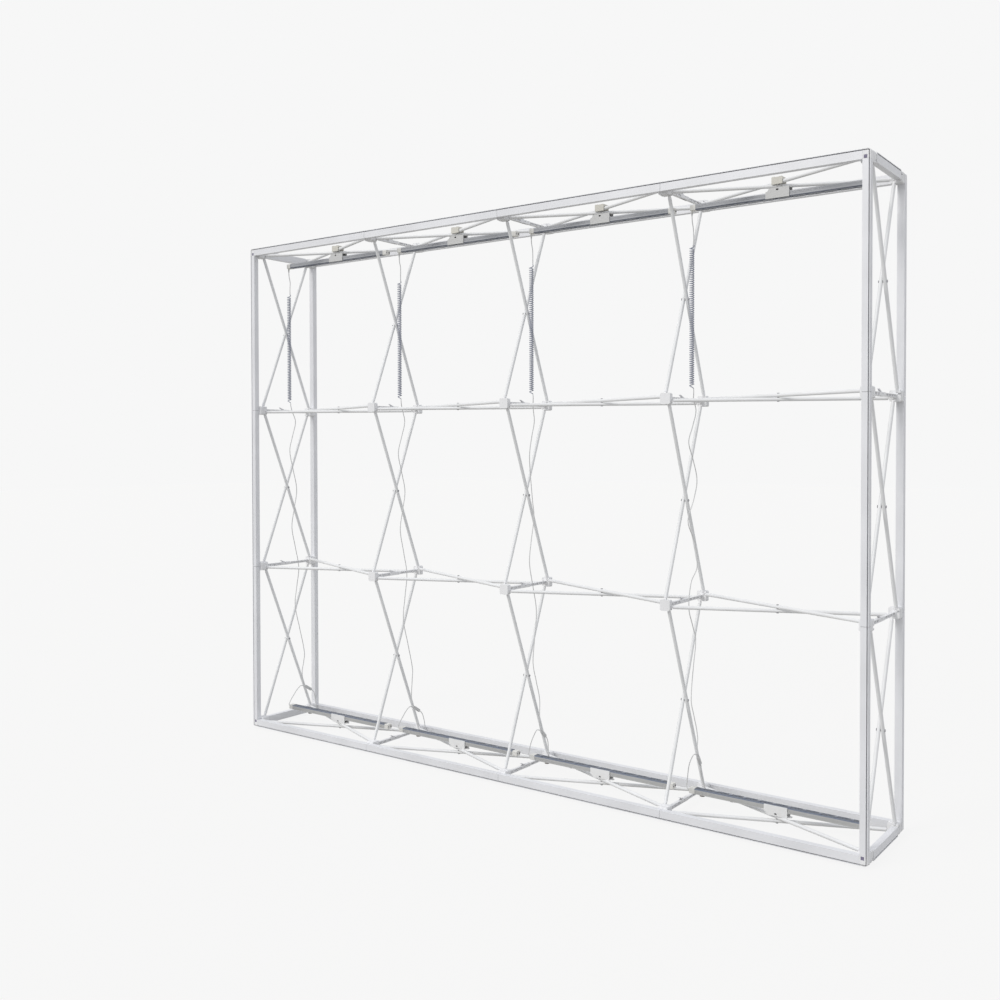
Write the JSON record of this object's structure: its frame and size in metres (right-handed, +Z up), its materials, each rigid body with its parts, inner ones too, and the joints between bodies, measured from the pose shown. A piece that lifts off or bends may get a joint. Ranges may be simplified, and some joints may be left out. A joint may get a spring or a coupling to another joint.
{
  "type": "pop-up display backwall frame",
  "caption": "Folding lattice of hubs and crossed tubes, erected as a straight wall, with clip-on graphic rails on both faces, catch locks and wired light bars inside.",
  "frame": {"origin": "on the floor under the centre of the frame, midway between its faces and its ends", "axes": "+X along the wall to the right as seen from the front, +Y from the front to the rear face, +Z up"},
  "size_m": [2.98, 0.369, 2.2568],
  "materials": {
    "white_plastic": "moulded, fine grain",
    "dark_plastic": "moulded",
    "tan_plastic": "moulded",
    "grey_plastic": "moulded",
    "grey_rubber": "matte",
    "silver_tube": "satin anodised",
    "rail_aluminium": "satin anodised, extrusion lines",
    "light_aluminium": "satin anodised",
    "circuit_board": "solder mask",
    "clear_lens": "clear moulded",
    "steel": "bright",
    "white_cable": "smooth sheath"
  },
  "bodies": {
    "frame": {"front_hubs": "white_plastic", "rear_hubs": "white_plastic", "rail_seats": "white_plastic", "corner_blocks": "white_plastic", "black_plugs": "dark_plastic", "feet": "grey_rubber", "bottom_row_tubes": "silver_tube", "lower_row_tubes": "silver_tube", "upper_row_tubes": "silver_tube", "top_row_tubes": "silver_tube", "column_1_tubes": "silver_tube", "column_2_tubes": "silver_tube", "column_3_tubes": "silver_tube", "column_4_tubes": "silver_tube", "column_5_tubes": "silver_tube", "tube_ends": "white_plastic", "pivot_pins": "steel", "crossing_rivets": "steel", "hook_arms": "white_plastic", "catch_arms": "white_plastic", "end_rails": "rail_aluminium", "end_rail_plugs": "white_plastic", "light_housings": "light_aluminium", "light_boards": "circuit_board", "light_lenses": "clear_lens", "light_end_caps": "white_plastic", "light_saddles": "white_plastic", "pivot_blocks": "tan_plastic", "lead_tops": "white_cable", "lead_coils": "white_cable", "lead_drops": "white_cable", "lead_splitters": "grey_plastic", "lead_tails": "white_cable", "supply_plugs": "dark_plastic"},
    "lever_row1_col2_body": {"lever_row1_col2": "white_plastic"},
    "lever_row1_col3_body": {"lever_row1_col3": "white_plastic"},
    "lever_row1_col4_body": {"lever_row1_col4": "white_plastic"},
    "lever_row2_col1_body": {"lever_row2_col1": "white_plastic"},
    "lever_row2_col2_body": {"lever_row2_col2": "white_plastic"},
    "lever_row2_col3_body": {"lever_row2_col3": "white_plastic"},
    "lever_row2_col4_body": {"lever_row2_col4": "white_plastic"},
    "lever_row2_col5_body": {"lever_row2_col5": "white_plastic"},
    "lever_row3_col1_body": {"lever_row3_col1": "white_plastic"},
    "lever_row3_col2_body": {"lever_row3_col2": "white_plastic"},
    "lever_row3_col3_body": {"lever_row3_col3": "white_plastic"},
    "lever_row3_col4_body": {"lever_row3_col4": "white_plastic"},
    "lever_row3_col5_body": {"lever_row3_col5": "white_plastic"},
    "lever_row4_col2_body": {"lever_row4_col2": "white_plastic"},
    "lever_row4_col3_body": {"lever_row4_col3": "white_plastic"},
    "lever_row4_col4_body": {"lever_row4_col4": "white_plastic"},
    "front_top_rail_body": {"front_top_rail": "rail_aluminium"},
    "front_bottom_rail_body": {"front_bottom_rail": "rail_aluminium"},
    "front_left_rail_body": {"front_left_rail": "rail_aluminium"},
    "front_right_rail_body": {"front_right_rail": "rail_aluminium"},
    "rear_top_rail_body": {"rear_top_rail": "rail_aluminium"},
    "rear_bottom_rail_body": {"rear_bottom_rail": "rail_aluminium"},
    "rear_left_rail_body": {"rear_left_rail": "rail_aluminium"},
    "rear_right_rail_body": {"rear_right_rail": "rail_aluminium"}
  },
  "joints": [
    {"name": "lever_row1_col2_release", "type": "hinge", "parent": "frame", "child": "lever_row1_col2_body", "pos_m": [-0.735, -0.014, 0.0306], "axis": [1, 0, 0], "range_deg": [0, 12], "stiffness_Nm_per_rad": 0.03, "springref_deg": -17.19},
    {"name": "lever_row1_col3_release", "type": "hinge", "parent": "frame", "child": "lever_row1_col3_body", "pos_m": [0, -0.014, 0.0306], "axis": [1, 0, 0], "range_deg": [0, 12], "stiffness_Nm_per_rad": 0.03, "springref_deg": -17.19},
    {"name": "lever_row1_col4_release", "type": "hinge", "parent": "frame", "child": "lever_row1_col4_body", "pos_m": [0.735, -0.014, 0.0306], "axis": [1, 0, 0], "range_deg": [0, 12], "stiffness_Nm_per_rad": 0.03, "springref_deg": -17.19},
    {"name": "lever_row2_col1_release", "type": "hinge", "parent": "frame", "child": "lever_row2_col1_body", "pos_m": [-1.47, -0.014, 0.7656], "axis": [1, 0, 0], "range_deg": [0, 12], "stiffness_Nm_per_rad": 0.03, "springref_deg": -17.19},
    {"name": "lever_row2_col2_release", "type": "hinge", "parent": "frame", "child": "lever_row2_col2_body", "pos_m": [-0.735, -0.014, 0.7656], "axis": [1, 0, 0], "range_deg": [0, 12], "stiffness_Nm_per_rad": 0.03, "springref_deg": -17.19},
    {"name": "lever_row2_col3_release", "type": "hinge", "parent": "frame", "child": "lever_row2_col3_body", "pos_m": [0, -0.014, 0.7656], "axis": [1, 0, 0], "range_deg": [0, 12], "stiffness_Nm_per_rad": 0.03, "springref_deg": -17.19},
    {"name": "lever_row2_col4_release", "type": "hinge", "parent": "frame", "child": "lever_row2_col4_body", "pos_m": [0.735, -0.014, 0.7656], "axis": [1, 0, 0], "range_deg": [0, 12], "stiffness_Nm_per_rad": 0.03, "springref_deg": -17.19},
    {"name": "lever_row2_col5_release", "type": "hinge", "parent": "frame", "child": "lever_row2_col5_body", "pos_m": [1.47, -0.014, 0.7656], "axis": [1, 0, 0], "range_deg": [0, 12], "stiffness_Nm_per_rad": 0.03, "springref_deg": -17.19},
    {"name": "lever_row3_col1_release", "type": "hinge", "parent": "frame", "child": "lever_row3_col1_body", "pos_m": [-1.47, -0.014, 1.5006], "axis": [1, 0, 0], "range_deg": [0, 12], "stiffness_Nm_per_rad": 0.03, "springref_deg": -17.19},
    {"name": "lever_row3_col2_release", "type": "hinge", "parent": "frame", "child": "lever_row3_col2_body", "pos_m": [-0.735, -0.014, 1.5006], "axis": [1, 0, 0], "range_deg": [0, 12], "stiffness_Nm_per_rad": 0.03, "springref_deg": -17.19},
    {"name": "lever_row3_col3_release", "type": "hinge", "parent": "frame", "child": "lever_row3_col3_body", "pos_m": [0, -0.014, 1.5006], "axis": [1, 0, 0], "range_deg": [0, 12], "stiffness_Nm_per_rad": 0.03, "springref_deg": -17.19},
    {"name": "lever_row3_col4_release", "type": "hinge", "parent": "frame", "child": "lever_row3_col4_body", "pos_m": [0.735, -0.014, 1.5006], "axis": [1, 0, 0], "range_deg": [0, 12], "stiffness_Nm_per_rad": 0.03, "springref_deg": -17.19},
    {"name": "lever_row3_col5_release", "type": "hinge", "parent": "frame", "child": "lever_row3_col5_body", "pos_m": [1.47, -0.014, 1.5006], "axis": [1, 0, 0], "range_deg": [0, 12], "stiffness_Nm_per_rad": 0.03, "springref_deg": -17.19},
    {"name": "lever_row4_col2_release", "type": "hinge", "parent": "frame", "child": "lever_row4_col2_body", "pos_m": [-0.735, -0.014, 2.2356], "axis": [1, 0, 0], "range_deg": [0, 12], "stiffness_Nm_per_rad": 0.03, "springref_deg": -17.19},
    {"name": "lever_row4_col3_release", "type": "hinge", "parent": "frame", "child": "lever_row4_col3_body", "pos_m": [0, -0.014, 2.2356], "axis": [1, 0, 0], "range_deg": [0, 12], "stiffness_Nm_per_rad": 0.03, "springref_deg": -17.19},
    {"name": "lever_row4_col4_release", "type": "hinge", "parent": "frame", "child": "lever_row4_col4_body", "pos_m": [0.735, -0.014, 2.2356], "axis": [1, 0, 0], "range_deg": [0, 12], "stiffness_Nm_per_rad": 0.03, "springref_deg": -17.19},
    {"name": "front_top_rail_pull_off", "type": "slide", "parent": "frame", "child": "front_top_rail_body", "axis": [0, -1, 0], "range_m": [0, 0.08]},
    {"name": "front_bottom_rail_pull_off", "type": "slide", "parent": "frame", "child": "front_bottom_rail_body", "axis": [0, -1, 0], "range_m": [0, 0.08]},
    {"name": "front_left_rail_pull_off", "type": "slide", "parent": "frame", "child": "front_left_rail_body", "axis": [0, -1, 0], "range_m": [0, 0.08]},
    {"name": "front_right_rail_pull_off", "type": "slide", "parent": "frame", "child": "front_right_rail_body", "axis": [0, -1, 0], "range_m": [0, 0.08]},
    {"name": "rear_top_rail_pull_off", "type": "slide", "parent": "frame", "child": "rear_top_rail_body", "axis": [0, 1, 0], "range_m": [0, 0.08]},
    {"name": "rear_bottom_rail_pull_off", "type": "slide", "parent": "frame", "child": "rear_bottom_rail_body", "axis": [0, 1, 0], "range_m": [0, 0.08]},
    {"name": "rear_left_rail_pull_off", "type": "slide", "parent": "frame", "child": "rear_left_rail_body", "axis": [0, 1, 0], "range_m": [0, 0.08]},
    {"name": "rear_right_rail_pull_off", "type": "slide", "parent": "frame", "child": "rear_right_rail_body", "axis": [0, 1, 0], "range_m": [0, 0.08]}
  ]
}
